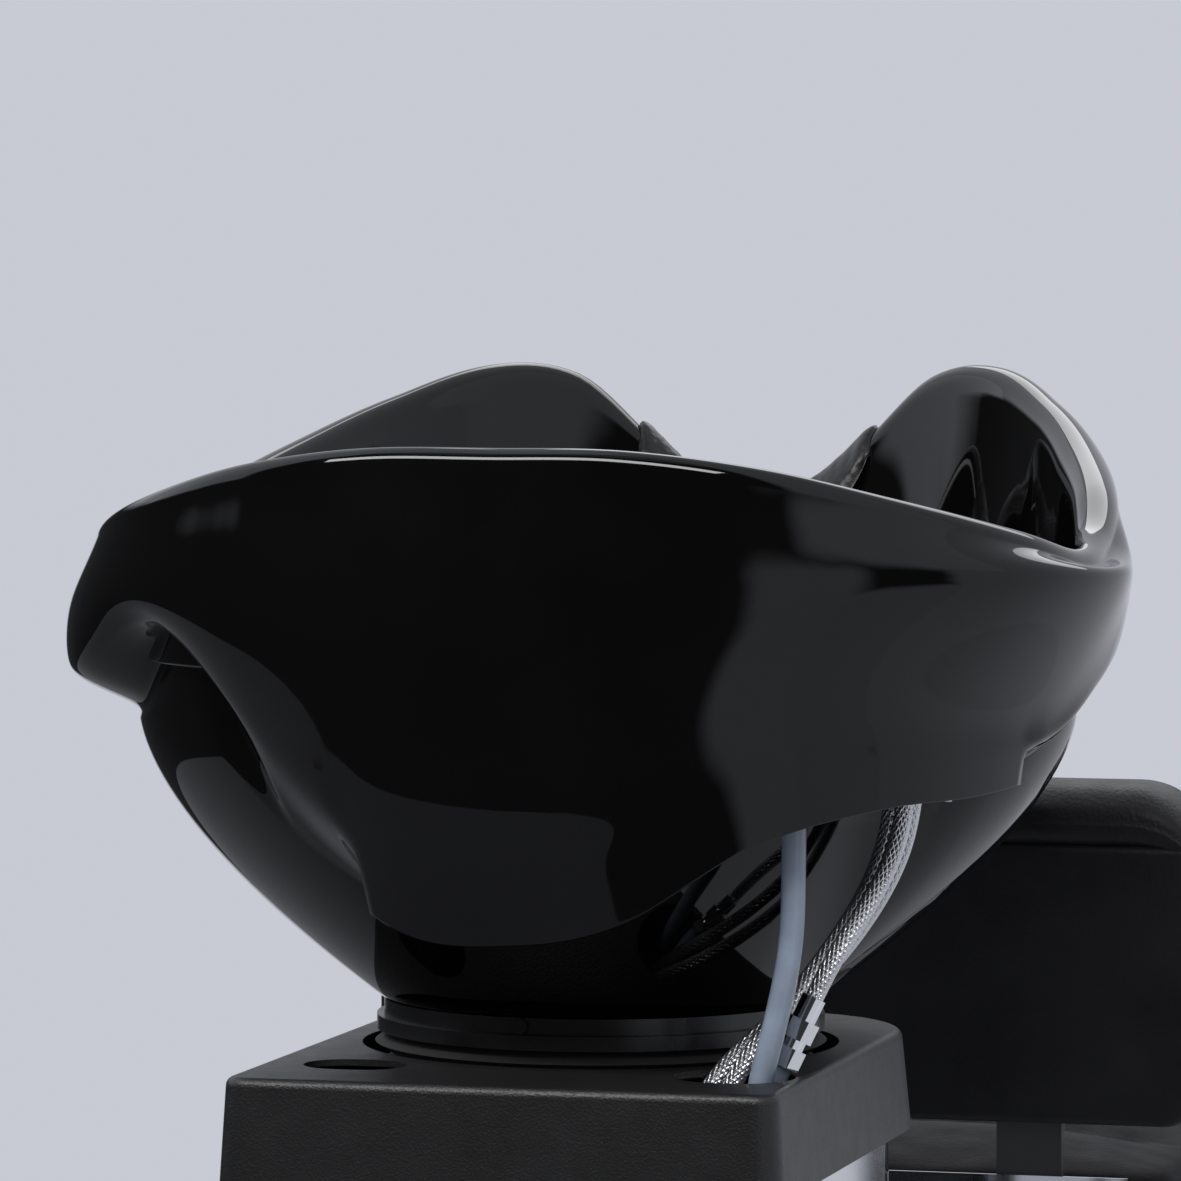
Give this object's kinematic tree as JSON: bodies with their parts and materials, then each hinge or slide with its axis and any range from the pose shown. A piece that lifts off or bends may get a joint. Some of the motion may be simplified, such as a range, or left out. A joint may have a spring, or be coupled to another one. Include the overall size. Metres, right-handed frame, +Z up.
{
  "type": "hair washing bed",
  "caption": "Hair washing bed: a black ceramic basin that tilts on a polished pedestal, with mixer and hand shower, joined to a low-backed padded seat with a folding leg rest.",
  "frame": {"origin": "the middle of the part's plan, on the floor", "axes": "+X to the right for someone behind the basin who faces the seat, +Y from the basin to the leg rest, +Z up"},
  "size_m": [0.646, 1.6077, 0.966],
  "materials": {
    "black_ceramic": "mirror-gloss black glazed ceramic",
    "gel_black": "soft wrinkled black gel skin",
    "cover_black": "fine-grained satin black moulded plastic",
    "polished_steel": "mirror-polished stainless sheet",
    "painted_steel": "satin black powder coat",
    "satin_black_metal": "satin black",
    "zinc_steel": "bright zinc-plated steel",
    "chrome": "polished chrome",
    "brass": "plain brass",
    "boot_rubber": "matte black rubber",
    "hose_grey": "satin grey-blue plastic skin",
    "braid": "woven stainless braid",
    "waste_plastic": "dark grey plastic",
    "spray_rubber": "grey soft nozzle plate",
    "board": "plain plywood",
    "upholstery": "smooth black leatherette over foam",
    "back_cloth": "plywood in black leatherette",
    "foot_rubber": "black rubber on a steel stem"
  },
  "bodies": {
    "frame": {"arm_frame_left": "polished_steel", "arm_frame_right": "polished_steel", "arm_pad_left": "upholstery", "arm_pad_right": "upholstery", "back_cushion": "upholstery", "back_panel": "back_cloth", "back_uprights": "painted_steel", "base_plate": "painted_steel", "bracket_bolts": "zinc_steel", "cold_hose": "braid", "cold_inlet": "brass", "foot_brackets": "painted_steel", "hatch_screws": "zinc_steel", "hinge_pins": "zinc_steel", "hot_hose": "braid", "hot_inlet": "brass", "leg_brackets": "painted_steel", "leg_pins": "zinc_steel", "levelling_feet": "foot_rubber", "link_beam": "polished_steel", "outlet_hose": "braid", "pedestal_column": "polished_steel", "pedestal_cover": "cover_black", "seat_base": "polished_steel", "seat_cushion": "upholstery", "seat_pan": "board", "service_hatch": "polished_steel", "shower_hose": "hose_grey", "support_post": "painted_steel", "tilt_boot": "boot_rubber", "tilt_bracket": "painted_steel", "union_fitting": "chrome", "union_nuts": "chrome", "waste_hose": "boot_rubber", "waste_spigot": "waste_plastic"},
    "basin": {"bowl": "black_ceramic", "neck_rest": "gel_black", "tilt_plate": "satin_black_metal", "tilt_collar": "satin_black_metal", "collar_screws": "satin_black_metal", "drain_strainer": "chrome", "waste_tail": "waste_plastic", "waste_nut": "waste_plastic", "mixer_body": "chrome", "mixer_nut": "brass", "fixing_stud": "zinc_steel", "fixing_nut": "brass", "shower_sleeve": "chrome", "sleeve_nut": "brass"},
    "mixer_hub": {"mixer_hub": "chrome", "lever_pin": "zinc_steel"},
    "mixer_lever": {"mixer_lever": "chrome"},
    "hand_shower": {"hand_shower": "chrome", "spray_plate": "spray_rubber", "hose_nut": "chrome"},
    "leg_rest": {"leg_arms": "painted_steel", "leg_board": "board", "leg_cushion": "upholstery"}
  },
  "joints": [
    {"name": "basin_tilt", "type": "hinge", "parent": "frame", "child": "basin", "pos_m": [0, -0.56919, 0.586], "axis": [1, 0, 0], "range_deg": [-6, 6], "deforming": ["tilt_boot", "waste_hose", "shower_hose", "outlet_hose", "hot_hose", "cold_hose"]},
    {"name": "mixer_turn", "type": "hinge", "parent": "basin", "child": "mixer_hub", "pos_m": [0.19018, -0.65586, 0.861], "axis": [0, 0, 1], "range_deg": [-45, 15]},
    {"name": "mixer_lift", "type": "hinge", "parent": "mixer_hub", "child": "mixer_lever", "pos_m": [0.19018, -0.65586, 0.8613], "axis": [0, 1, 0], "range_deg": [0, 25]},
    {"name": "shower_lift", "type": "slide", "parent": "basin", "child": "hand_shower", "axis": [0, 0, 1], "range_m": [0, 0.06], "deforming": ["shower_hose"]},
    {"name": "leg_fold", "type": "hinge", "parent": "frame", "child": "leg_rest", "pos_m": [0, 0.39881, 0.372], "axis": [1, 0, 0], "range_deg": [-45, 15]}
  ]
}
